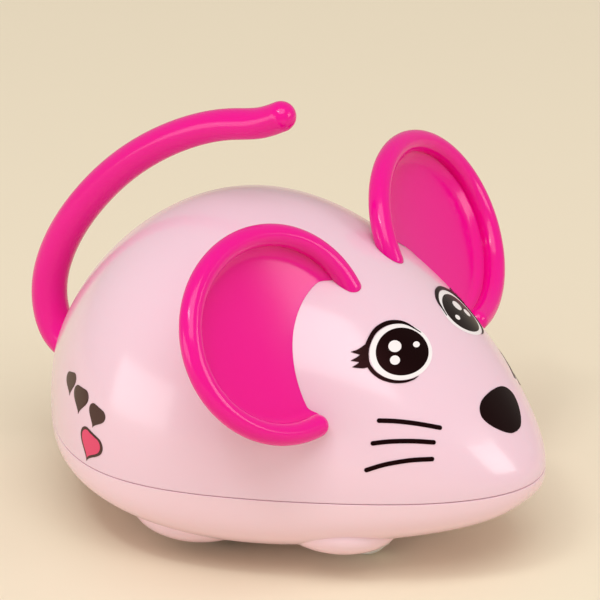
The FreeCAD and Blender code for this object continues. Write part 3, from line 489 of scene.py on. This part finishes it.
def lower_shell():
    shell = half_body("shell_bottom", False, edge=SEAM_HALF_GAP, corner=SEAM_ROUND)
    boolean(shell, boolean(joined(paws(0.0)), slab(*PAW_LEVELS), "INTERSECT"), "UNION")
    inside = inner_body(False, WALL)
    boolean(inside, joined(paws(WALL)), "UNION")
    boolean(shell, inside, "DIFFERENCE")

    lip = half_body("lip", True, inset=WALL - LIP, skirt=LIP_SKIRT, along=110, around=40)
    boolean(lip, slab(SEAM_Z - CUT_FLOOR, SEAM_Z + LIP_TOP), "INTERSECT")
    boolean(lip, inner_body(True, WALL - LIP_THINNER, around=40), "DIFFERENCE")
    boolean(shell, lip, "UNION")

    x, z = FRONT_AXLE
    works = [upright(SCREW_BOSS, *spot) for spot in SCREWS]
    works += [upright(MOTOR_BOSS, *spot) for spot in MOTOR_BOSSES]
    near, far = BEARING_Y
    wide, tall = BEARING_BLOCK
    for low, high in ((near, far), (-far, -near)):
        works.append(rounded_box((x - wide, low, z - wide), (x + wide, high, z + tall), 0.3))
    boolean(shell, boolean(joined(works), inner_body(False, WALL / 3), "INTERSECT"), "UNION")
    boolean(shell, rounded_box(*BELLY_PAD), "UNION")

    boolean(shell, joined(wheel_slots()), "DIFFERENCE")
    radius, past = BEARING_BORE
    relief, relief_past = BEARING_RELIEF
    wide, mouth_past, tall = BEARING_MOUTH
    boolean(shell, cylinder(relief, (x, -near, z), (x, near, z), 32), "DIFFERENCE")
    boolean(shell, cylinder(radius, (x, -far - past, z), (x, far + past, z), 32), "DIFFERENCE")
    reliefs, mouths = [], []
    for side in (-1, 1):
        low, high = sorted((side * (near - mouth_past), side * (far + mouth_past)))
        mouths.append(rounded_box((x - wide, low, z), (x + wide, high, z + tall), 0.1, 2))
        low, high = sorted((side * far, side * (far + relief_past)))
        reliefs.append(cylinder(relief, (x, low, z), (x, high, z), 32))
    boolean(shell, joined(reliefs), "DIFFERENCE")
    boolean(shell, joined(mouths), "DIFFERENCE")
    boolean(shell, joined([upright(SCREW_HEAD_WELL, *spot) for spot in SCREWS]), "DIFFERENCE")
    boolean(shell, joined([upright(SCREW_HOLE, *spot, 32) for spot in SCREWS]), "DIFFERENCE")
    boolean(shell, tail_rod(TAIL_PLAY, sides=40), "DIFFERENCE")
    sharpen(shell)
    analytic_normals(shell, False)
    return shell


# ---- ears ----
def ear_matrix(side):
    """The ear's own axes: across to the mouse's left, up the dish, and out of its face."""
    splay = -side * EAR_SPLAY
    flat = math.cos(EAR_TILT)
    out = Vector((math.cos(splay) * flat, -math.sin(splay) * flat, math.sin(EAR_TILT)))
    across = Vector((math.sin(splay), math.cos(splay), 0))
    up = out.cross(across)
    x, y, z = EAR_CENTRE
    turn = Matrix((across, up, out)).transposed().to_4x4()
    return Matrix.Translation((x, side * y, z)) @ turn


def bezier(points, count):
    a, b, c, d = [np.array(p, float) for p in points]
    t = np.linspace(0, 1, count)[:, None]
    return (1 - t) ** 3 * a + 3 * (1 - t) ** 2 * t * b + 3 * (1 - t) * t**2 * c + t**3 * d


def in_ear(side, rings):
    """Rings in the ear's own axes, carried to its place."""
    matrix = ear_matrix(side)
    return [[tuple(matrix @ Vector(p)) for p in ring] for ring in rings]


def ear_dish(side, columns=160):
    """The plate, turned round the ear's axis and squeezed to the rim's ellipse."""
    rim = EAR_RADII[0] - EAR_BEAD
    squeeze = (EAR_RADII[1] - EAR_BEAD) / rim
    # pairs of radius and height: the dish's floor, its rise to the rim, the underside, the back
    floor = [(r, -2.85 + 0.75 * (r / 15.6) ** 2) for r in (0.02, 3, 6, 9, 11, 13, 14.6)]
    rise = bezier([(15.4, -2.1), (17.6, -1.95), (17.4, -0.9), (rim - 0.4, -0.5)], 14)
    under = bezier([(rim, -1.4), (18.6, -1.9), (18.0, -3.5), (15.8, -3.6)], 12)
    back = [(10, -3.9), (5, -4.1), (0.02, -4.2)]
    rings = []
    for r, height in (*floor, *rise, *under, *back):
        ring = [(r * math.cos(t), r * math.sin(t) * squeeze, height) for t in round_angles(columns)]
        rings.append(ring)
    return capped_grid("dish", in_ear(side, rings))


def ear_rim(side, count=200, sides=36):
    """The rolled rim, a bead round part of an ellipse with round ends."""
    wide, high = EAR_RADII[0] - EAR_BEAD, EAR_RADII[1] - EAR_BEAD
    first, last = EAR_RIM_ENDS if side < 0 else (180 - EAR_RIM_ENDS[1], 180 - EAR_RIM_ENDS[0])

    def ring(t, ahead, radius):
        spot = np.array((wide * math.cos(t), high * math.sin(t), 0))
        way = np.array((-wide * math.sin(t), high * math.cos(t), 0))
        way /= np.linalg.norm(way)
        aside = np.array((way[1], -way[0], 0))
        up = np.array((0, 0, 1))
        spot = spot + way * ahead
        points = []
        for a in round_angles(sides):
            points.append(tuple(spot + aside * radius * math.cos(a) + up * radius * math.sin(a)))
        return points

    first, last = math.radians(first), math.radians(last)
    ends = np.radians(np.linspace(88, 6, 12))
    rings = [ring(first, -EAR_BEAD * math.sin(e), EAR_BEAD * math.cos(e)) for e in ends]
    rings += [ring(t, 0, EAR_BEAD) for t in np.linspace(first, last, count)]
    rings += [ring(last, EAR_BEAD * math.sin(e), EAR_BEAD * math.cos(e)) for e in reversed(ends)]
    return capped_grid("rim", in_ear(side, rings))


def ear(side):
    """The dish and its rim, cut away where they meet the head."""
    shape = boolean(ear_rim(side), ear_dish(side), "UNION")
    boolean(shape, half_body("head", True, inset=-EAR_PLAY, skirt=SKIRT), "DIFFERENCE")
    return sharpen(shape, 50)


# ---- key ----
def butterfly_key():
    """Two pierced wings and a web on a hub, over a stem with a bore for the arbor."""
    x, z = WINDING
    radius, offset, middle = KEY_WING
    half = KEY_HALF_THICKNESS
    eye_radius, eye_offset = KEY_EYE
    # the eye's cutter widens to both faces, and goes on past them
    flare = [(eye_radius + inset, h) for inset, h in rounded_levels(-half, half, KEY_EYE_ROUND)]
    flare = [(flare[0][0], -half - 1)] + flare + [(flare[0][0], half + 1)]
    disc = [(radius - inset, h) for inset, h in rounded_levels(-half, half, KEY_WING_ROUND)]
    web = half - KEY_WEB_THINNER
    start, end, corner = KEY_WEB
    corners = (x - offset, start, z - web), (x + offset, end, z + web)
    key = rounded_box(*corners, corner, 6, KEY_WING_ROUND)
    for side in (-1, 1):
        boolean(key, turned(disc, (x + side * offset, middle, z), (0, 0, 1)), "UNION")
    for side in (-1, 1):
        boolean(key, turned(flare, (x + side * eye_offset, middle, z), (0, 0, 1)), "DIFFERENCE")
    radius, start, end = KEY_HUB
    hub = [(radius - inset, h) for inset, h in rounded_levels(start, end, KEY_HUB_ROUND)]
    boolean(key, turned(hub, (x, 0, z), (0, 1, 0)), "UNION")
    radius, start, end = KEY_STEM
    boolean(key, cylinder(radius, (x, start, z), (x, end - 1, z)), "UNION")
    radius, bore_end, flat = KEY_BORE
    bore = cylinder(radius, (x, start - 1, z), (x, bore_end, z))
    boolean(bore, rounded_box((x - 3, start - 2, z + flat), (x + 3, end, z + 3), 0.1), "DIFFERENCE")
    boolean(key, bore, "DIFFERENCE")
    sharpen(key, 40)
    even = key.modifiers.new("even", "WEIGHTED_NORMAL")
    even.keep_sharp = True
    return key


# ---- prints ----
# each print has a place on the shell, and flat points across and up from there
INK = 0.035  # thickness of one layer of ink
PRINT_REACH = (-6.0, 3.0)  # how far under and over a print's flat plane the shell may lie
EYE = (28.8, -10.48, 41.21)  # the right eye
EYE_TILT = math.radians(19)
LID_OUTER = [
    (-6.9, 0.2), (-6.35, 1.9), (-5.23, 3.48), (-3.17, 5.31),
    (-0.73, 6.19), (1.52, 6.15), (3.46, 5.32), (5.51, 3.02),
]
LID_INNER = [
    (-6.1, -0.2), (-5.6, 1.4), (-4.6, 2.95), (-2.9, 4.5),
    (-0.7, 5.35), (1.4, 5.42), (3.3, 4.85), (5.45, 2.98),
]
UNDER_OUTER = [
    (-6.9, 0.2), (-6.75, -1.2), (-6.2, -2.6), (-5.12, -3.94),
    (-3.41, -5.01), (-1.49, -5.52), (0.41, -5.43), (1.61, -4.98),
]
UNDER_INNER = [
    (-6.1, -0.2), (-6.0, -1.2), (-5.45, -2.5), (-4.4, -3.72),
    (-2.9, -4.65), (-1.3, -5.1), (0.3, -5.15), (1.57, -4.94),
]
LASHES = [  # upper root, lower root, tip
    ((-5.7, 2.9), (-6.0, 1.0), (-8.57, 2.3)),
    ((-6.2, 1.9), (-6.2, -0.1), (-9.07, 0.8)),
    ((-6.4, 0.9), (-6.3, -1.2), (-9.2, -0.37)),
]
NOSE_CENTRE = (42.8, 0.8, 29.65)
NOSE_HALF = [
    (0, 3.6), (2.3, 3.42), (3.95, 3.0), (5.2, 2.1), (5.78, 0.8),
    (5.45, -0.6), (4.6, -2.0), (3.2, -3.5), (1.7, -4.5), (0.05, -4.8),
]
WHISKER_HALF_WIDTH = 0.4
WHISKERS = [  # on the left cheek
    [(29.7, 19.85, 31.98), (32.24, 17.93, 31.74), (35.09, 15.68, 31.12), (38.56, 12.64, 29.91)],
    [(29.62, 21.76, 28.32), (32.27, 19.78, 28.59), (35.48, 17.21, 28.45), (38.48, 14.58, 27.9)],
    [(29.34, 23.33, 23.72), (32.31, 21.21, 24.8), (35.74, 18.52, 25.38), (38.9, 15.77, 25.34)],
]
FLANK = (-21.5, -34.0, 28.3)
FLANK_HEARTS = [  # place, size, tilt
    ((-7.2, 1.6), 4.6, 0.25), ((-2.2, 0.3), 5.4, 0.05), ((3.4, -0.9), 4.6, -0.2),
]
FRAMED_HEART = (((2.6, -6.6), 6.6, -0.25), ((2.6, -6.55), 5.4, -0.25))  # the outline and the fill


class Patch:
    """A place on the upper shell to print on: flat points across and up, carried onto it.
    mirror is -1 for the same print on the other side."""

    def __init__(self, x, y, z, mirror=1):
        self.mirror = mirror
        self.origin = np.array((x, y, z), float)
        self.out = skin_normal([self.origin], True)[0]
        self.across = np.cross((0, 0, 1), self.out)
        self.across /= np.linalg.norm(self.across)
        self.up = np.cross(self.out, self.across)

    def onto(self, flat, lift):
        """Flat points to points at a height over the surface."""
        flat = np.asarray(flat, float)
        shape = flat.shape[:-1]
        flat = flat.reshape(-1, 2)
        start = self.origin + flat[:, :1] * self.across + flat[:, 1:] * self.up
        low, high = (np.full(len(start), reach) for reach in PRINT_REACH)
        for _ in range(40):
            middle = (low + high) / 2
            inside = body_level(start + middle[:, None] * self.out) < 1
            low, high = np.where(inside, middle, low), np.where(inside, high, middle)
        points = start + low[:, None] * self.out
        points += skin_normal(points, True) * lift
        points[:, 1] *= self.mirror
        return points.reshape(*shape, 3)


def inked(name, patch, left, right, ink, layer, across=10):
    """A thin layer of ink between two edges drawn on a patch."""
    left, right = np.asarray(left, float), np.asarray(right, float)
    blend = np.linspace(0, 1, across)[None, :, None]
    flat = left[:, None] * (1 - blend) + right[:, None] * blend
    top = patch.onto(flat, INK * (layer + 1))
    bottom = patch.onto(flat[:, ::-1], INK * 0.2)
    obj = capped_grid(name, np.concatenate([top, bottom], 1))
    analytic_normals(obj, True, tolerance=INK * 8)
    obj.data.materials.append(ink)
    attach(obj, "chassis")


def tilted(points, tilt, centre):
    """Flat points turned by an angle, and moved."""
    turn = np.array([(math.cos(tilt), -math.sin(tilt)), (math.sin(tilt), math.cos(tilt))])
    return points @ turn.T + centre


def oval_edges(centre, radii, tilt=0.0, count=56):
    """The two long edges of an ellipse."""
    t = np.linspace(0.02, math.pi - 0.02, count)
    left = np.stack([-np.cos(t) * radii[0], np.sin(t) * radii[1]], 1)
    return tilted(left, tilt, centre), tilted(left * (1, -1), tilt, centre)


def smooth_line(points, count):
    """A Catmull-Rom curve through points."""
    p = np.array(points, float)
    p = np.concatenate([[2 * p[0] - p[1]], p, [2 * p[-1] - p[-2]]])
    t = np.linspace(0, len(points) - 1.000001, count)
    k = t.astype(int)
    t = (t - k)[:, None]
    a, b, c, d = p[k], p[k + 1], p[k + 2], p[k + 3]
    square, cube = 2 * a - 5 * b + 4 * c - d, 3 * b - a - 3 * c + d
    return 0.5 * (2 * b + (c - a) * t + square * t**2 + cube * t**3)


def stroke_edges(points, half_width, count=40):
    """The two edges of a round-ended line."""
    line = smooth_line(points, count)
    travel = np.concatenate([[0], np.cumsum(np.linalg.norm(np.diff(line, axis=0), axis=1))])
    ends = half_width * (1 - np.cos(np.linspace(0.12, math.pi / 2, 9)))
    between = np.linspace(half_width, travel[-1] - half_width, count)[1:-1]
    stops = np.concatenate([ends, between, travel[-1] - ends[::-1]])
    line = np.stack([np.interp(stops, travel, line[:, k]) for k in (0, 1)], 1)
    way = np.gradient(line, axis=0)
    way /= np.linalg.norm(way, axis=1)[:, None]
    near = np.minimum(np.minimum(stops, travel[-1] - stops) / half_width, 1)
    width = half_width * np.sqrt(np.clip(1 - (1 - near) ** 2, 0.001, 1))
    side = np.stack([-way[:, 1], way[:, 0]], 1) * width[:, None]
    return line + side, line - side


def heart_edges(centre, size, tilt=0.0, count=44):
    """The two sides of a heart, from its notch to its point."""
    t = np.linspace(0.06, math.pi - 0.03, count)
    x = 16 * np.sin(t) ** 3
    y = 13 * np.cos(t) - 5 * np.cos(2 * t) - 2 * np.cos(3 * t) - np.cos(4 * t)
    right = np.stack([x, y], 1) * size / 32
    return tilted(right * (-1, 1), tilt, centre), tilted(right, tilt, centre)


def eye(side, mirror, dark, white):
    patch = Patch(*EYE, mirror)

    def ink(name, edges, colour, layer, across=12):
        inked(f"eye_{name}_{side}", patch, *edges, colour, layer, across)

    ink("white", oval_edges((0.33, 0.19), (6.23, 5.15), EYE_TILT), white, 0, 20)
    ink("pupil", oval_edges((0.49, 0.14), (5.28, 4.33), EYE_TILT), dark, 1, 18)
    ink("glint_large", oval_edges((-0.66, 1.27), (1.28, 1.07), EYE_TILT, 28), white, 2)
    ink("glint_small", oval_edges((-1.61, -1.22), (0.95, 0.83), EYE_TILT, 28), white, 2)
    ink("glint_far", oval_edges((3.52, 0.84), (0.71, 0.54), EYE_TILT, 28), white, 2)
    ink("lid", (smooth_line(LID_OUTER, 60), smooth_line(LID_INNER, 60)), dark, 3)
    ink("under", (smooth_line(UNDER_OUTER, 60), smooth_line(UNDER_INNER, 60)), dark, 3)
    for k, (high, low, tip) in enumerate(LASHES):
        over = np.add(high, tip) / 2 + (-0.1, -0.22)
        beneath = np.add(low, tip) / 2 + (0.15, -0.3)
        last = np.add(tip, (0.03, -0.05))
        edges = smooth_line([high, over, tip], 20), smooth_line([low, beneath, last], 20)
        ink(f"lash_{k + 1}", edges, dark, 4, 6)


def nose(dark):
    half = smooth_line(NOSE_HALF, 60)
    half[:, 0] = np.maximum(half[:, 0], 0.03)
    inked("nose", Patch(*NOSE_CENTRE), half * (-1, 1), half, dark, 1, 24)


def whiskers(side, mirror, dark):
    for k, points in enumerate(WHISKERS):
        points = np.array(points) * (1, -1, 1)
        patch = Patch(*points[1:3].mean(0), mirror)
        flat = [((p - patch.origin) @ patch.across, (p - patch.origin) @ patch.up) for p in points]
        edges = stroke_edges(flat, WHISKER_HALF_WIDTH)
        inked(f"whisker_{k + 1}_{side}", patch, *edges, dark, 1, 6)


def flank_hearts(brown, pink):
    """A plain pattern of hearts near the tail, on the flank without the key."""
    patch = Patch(*FLANK)
    outline, fill = FRAMED_HEART
    for k, heart in enumerate(FLANK_HEARTS):
        inked(f"flank_heart_{k + 1}", patch, *heart_edges(*heart), brown, 1)
    inked("flank_heart_outline", patch, *heart_edges(*outline), brown, 1, 14)
    inked("flank_heart_fill", patch, *heart_edges(*fill), pink, 2, 14)


# ---- materials ----
def linear(hex_colour):
    """A colour as written for screens, in the values that shaders take."""
    values = [int(hex_colour[k : k + 2], 16) / 255 for k in (1, 3, 5)]
    return (*[v / 12.92 if v <= 0.04045 else ((v + 0.055) / 1.055) ** 2.4 for v in values], 1.0)


def finish(name, colour, rough, drift=0.03, speck=900.0, bump=0.02, rough_drift=0.04, **uniform):
    """A moulded, printed or metal surface: its colour and its gloss drift a little, over a fine
    bump. speck is the bump's scale; uniform holds shader inputs that are the same all over."""
    material = bpy.data.materials.new(name)
    material.use_nodes = True
    nodes, links = material.node_tree.nodes, material.node_tree.links
    shader = nodes["Principled BSDF"]
    shader.inputs["Roughness"].default_value = rough
    for socket, value in uniform.items():
        shader.inputs[socket.replace("_", " ")].default_value = value
    place_node = nodes.new("ShaderNodeTexCoord")

    def noise(scale, detail):
        texture = nodes.new("ShaderNodeTexNoise")
        texture.inputs["Scale"].default_value = scale
        texture.inputs["Detail"].default_value = detail
        links.new(place_node.outputs["Object"], texture.inputs["Vector"])
        return texture.outputs["Fac"]

    tint = nodes.new("ShaderNodeMix")
    tint.data_type = "RGBA"
    base = linear(colour)
    tint.inputs[6].default_value = (*[c * (1 - drift) for c in base[:3]], 1)
    tint.inputs[7].default_value = (*[min(c * (1 + drift), 1) for c in base[:3]], 1)
    links.new(noise(45.0, 3.0), tint.inputs[0])
    links.new(tint.outputs[2], shader.inputs["Base Color"])

    spread = nodes.new("ShaderNodeMapRange")
    spread.inputs["From Min"].default_value = 0.3
    spread.inputs["From Max"].default_value = 0.7
    spread.inputs["To Min"].default_value = max(rough - rough_drift, 0.02)
    spread.inputs["To Max"].default_value = rough + rough_drift
    links.new(noise(180.0, 4.0), spread.inputs["Value"])
    links.new(spread.outputs["Result"], shader.inputs["Roughness"])

    relief = nodes.new("ShaderNodeBump")
    relief.inputs["Strength"].default_value = bump
    relief.inputs["Distance"].default_value = 0.0001
    links.new(noise(speck, 2.0), relief.inputs["Height"])
    links.new(relief.outputs["Normal"], shader.inputs["Normal"])
    return material


def coated(weight, rough, glow, reach):
    """A clear coat over plastic that lets a little light in, and how far it spreads in metres."""
    return {
        "Coat_Weight": weight, "Coat_Roughness": rough,
        "Subsurface_Weight": glow, "Subsurface_Scale": reach,
    }


GLOSS = coated(0.25, 0.08, 0.12, 0.003)
ROSE = {"Subsurface_Radius": (1.0, 0.45, 0.5)}
SATIN = coated(0.15, 0.1, 0.1, 0.002)
VIVID = {"Specular_IOR_Level": 0.27}
INKED = {"Coat_Weight": 0.15, "Coat_Roughness": 0.12, "Specular_IOR_Level": 0.3}
# Painted reflection: the dark ink's reflections are tinted red, and its black holds a faint red, to
# stand in for the magenta ears mirrored in the pupils and the nose.
PAINTED_RED_REFLECTION = {"Specular_Tint": (1.0, 0.3, 0.32, 1.0), "Specular_IOR_Level": 0.16}
# name, colour, roughness, colour drift, bump scale, bump strength, roughness drift
FINISHES = {
    "pale_pink": finish(
        "pale_pink_plastic", "#EDCBDB", 0.2, 0.006, 300.0, 0.02, 0.02, **GLOSS, **ROSE
    ),
    "belly_pink": finish(
        "belly_pink_plastic", "#F0CFDB", 0.23, 0.008, 300.0, 0.02, 0.02, **GLOSS, **ROSE
    ),
    "magenta": finish(
        "magenta_plastic", "#E90390", 0.17, 0.01, 300.0, 0.02, 0.02, **SATIN, **ROSE, **VIVID
    ),
    "key_magenta": finish(
        "key_plastic", "#E80690", 0.32, 0.02, 400.0, 0.03, 0.03, **SATIN, **ROSE, **VIVID
    ),
    "screw_steel": finish("screw_steel", "#B9BBBE", 0.3, 0.05, 2200.0, 0.1, 0.1, Metallic=1.0),
    "plate_steel": finish("plate_steel", "#A9ACAF", 0.36, 0.06, 1500.0, 0.15, 0.12, Metallic=1.0),
    "shaft_steel": finish("shaft_steel", "#C4C6C8", 0.18, 0.04, 2500.0, 0.06, 0.06, Metallic=1.0),
    "spring_steel": finish("spring_steel", "#6F7886", 0.28, 0.12, 1800.0, 0.1, 0.1, Metallic=1.0),
    "brass": finish("brass", "#D3A955", 0.3, 0.08, 1600.0, 0.12, 0.1, Metallic=1.0),
    "zinc": finish("cast_zinc", "#8F9396", 0.45, 0.08, 1400.0, 0.3, 0.12, Metallic=1.0),
    "white_nylon": finish(
        "white_nylon", "#E9E6DC", 0.42, 0.02, 1200.0, 0.12, 0.08, Subsurface_Weight=0.1
    ),
    "wheel_white": finish(
        "wheel_plastic", "#ECEBE7", 0.32, 0.02, 1000.0, 0.06, 0.06, Subsurface_Weight=0.08
    ),
    "tyre_rubber": finish("tyre_rubber", "#2C2B2D", 0.72, 0.12, 1500.0, 0.4, 0.1),
}
INKS = {
    # The dark ink's red-tinted reflections are painted reflection of the magenta ears.
    "dark": finish("dark_ink", "#0A0304", 0.3, 0.2, 1600.0, 0.03, 0.04, **PAINTED_RED_REFLECTION),
    "white": finish("white_ink", "#F1ECEE", 0.35, 0.01, 1600.0, 0.03, 0.04, **INKED),
    "brown": finish("brown_ink", "#43241F", 0.38, 0.15, 1600.0, 0.03, 0.04, **INKED),
    "pink": finish("pink_ink", "#E0446E", 0.38, 0.05, 1600.0, 0.03, 0.04, **INKED),
}


# ---- put together ----
def add(obj, name, slot, body, *nodes):
    """A piece that stands for CAD nodes."""
    obj.name = name
    obj.data.name = name
    obj.data.materials.clear()
    obj.data.materials.append(FINISHES[slot])
    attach(obj, body)
    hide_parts(*nodes)


add(upper_shell(), "shell_top", "pale_pink", "chassis", "upper_shell")
add(lower_shell(), "shell_bottom", "belly_pink", "chassis", "lower_shell")
add(ear(-1), "dished_ear_right", "magenta", "chassis", "ear_right")
add(ear(1), "dished_ear_left", "magenta", "chassis", "ear_left")
tail = boolean(tail_rod(), cylinder(*TAIL_PLUG), "UNION")
add(sharpen(tail), "arched_tail", "magenta", "chassis", "tail")
add(butterfly_key(), "butterfly_key", "key_magenta", "winding", "winding_key")

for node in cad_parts.values():
    for held in node.material_slots:
        held.material = FINISHES[held.material.name.split(".")[0]]

for side, mirror in (("right", 1), ("left", -1)):
    eye(side, mirror, INKS["dark"], INKS["white"])
    whiskers(side, mirror, INKS["dark"])
flank_hearts(INKS["brown"], INKS["pink"])
nose(INKS["dark"])

# ---- stage ----
FLOOR = finish("backdrop_paper", "#EFE5CD", 0.7, 0.004, 400.0, 0.05, 0.03, Specular_IOR_Level=0.1)
VIEW_AZIMUTH = math.radians(32)
VIEW_ELEVATION = math.radians(23)
VIEW_DISTANCE = 1.0
VIEW_LOOKS_AT = (0.0, 0.0, 0.035)
VIEW_OFFSET = (0.00141, 0.00532)  # sideways and up

VIEW_LENS = 337.3  # millimetres, for a sensor 36 mm wide
FLOOR_HALF_SIZE = 6.0


def toward(azimuth, elevation):
    """The direction at an azimuth, from the toy's right side to its nose, and an elevation."""
    flat = math.cos(elevation)
    return Vector((math.sin(azimuth) * flat, -math.cos(azimuth) * flat, math.sin(elevation)))


BACK = toward(VIEW_AZIMUTH, VIEW_ELEVATION)
RIGHT = Vector((math.cos(VIEW_AZIMUTH), math.sin(VIEW_AZIMUTH), 0))
UP = BACK.cross(RIGHT)
CENTRE = Vector((MIDDLE_X, 0, 0))


def camera():
    data = bpy.data.cameras.new("camera")
    data.lens = VIEW_LENS
    data.sensor_width = 36
    data.clip_end = 20
    view = bpy.data.objects.new("camera", data)
    bpy.context.scene.collection.objects.link(view)
    spot = CENTRE + Vector(VIEW_LOOKS_AT) + BACK * VIEW_DISTANCE
    spot += RIGHT * VIEW_OFFSET[0] + UP * VIEW_OFFSET[1]
    view.matrix_world = Matrix.Translation(spot) @ Matrix((RIGHT, UP, BACK)).transposed().to_4x4()
    bpy.context.scene.camera = view


def floor():
    mesh = bpy.data.meshes.new("floor")
    size = FLOOR_HALF_SIZE
    corners = [(-size, -size, 0), (size, -size, 0), (size, size, 0), (-size, size, 0)]
    mesh.from_pydata(corners, [], [(0, 1, 2, 3)])
    mesh.materials.append(FLOOR)
    obj = bpy.data.objects.new("floor", mesh)
    bpy.context.scene.collection.objects.link(obj)


def soft_light(name, azimuth, elevation, distance, size, power, colour=(1, 1, 1)):
    """A panel of light that faces the toy. azimuth is from the camera round to the nose."""
    way = toward(VIEW_AZIMUTH + math.radians(azimuth), math.radians(elevation))
    data = bpy.data.lights.new(name, "AREA")
    data.shape = "RECTANGLE"
    data.size, data.size_y = size
    data.energy = power
    data.color = colour
    lamp = bpy.data.objects.new(name, data)
    bpy.context.scene.collection.objects.link(lamp)
    lamp.location = CENTRE + Vector((0, 0, 0.03)) + way * distance
    lamp.rotation_euler = way.to_track_quat("Z", "Y").to_euler()


def surroundings(colour, strength):
    world = bpy.data.worlds.new("room")
    world.use_nodes = True
    sky = world.node_tree.nodes["Background"]
    sky.inputs["Color"].default_value = (*colour, 1)
    sky.inputs["Strength"].default_value = strength
    bpy.context.scene.world = world


camera()
floor()
soft_light("overhead", 8, 62, 1.5, (1.1, 1.0), 9.9, (0.98, 0.99, 1.0))
soft_light("right_window", 72, 20, 1.1, (0.54, 0.34), 2.2)
soft_light("left_panel", -63, 8, 1.2, (0.9, 0.54), 3.8, (0.98, 0.99, 1.0))
soft_light("left_strip", -38, 58, 1.3, (0.34, 0.12), 2.2)
surroundings((1.0, 0.9, 0.81), 0.5)
bpy.context.scene.view_settings.view_transform = "Standard"
bpy.context.scene.view_settings.look = "None"
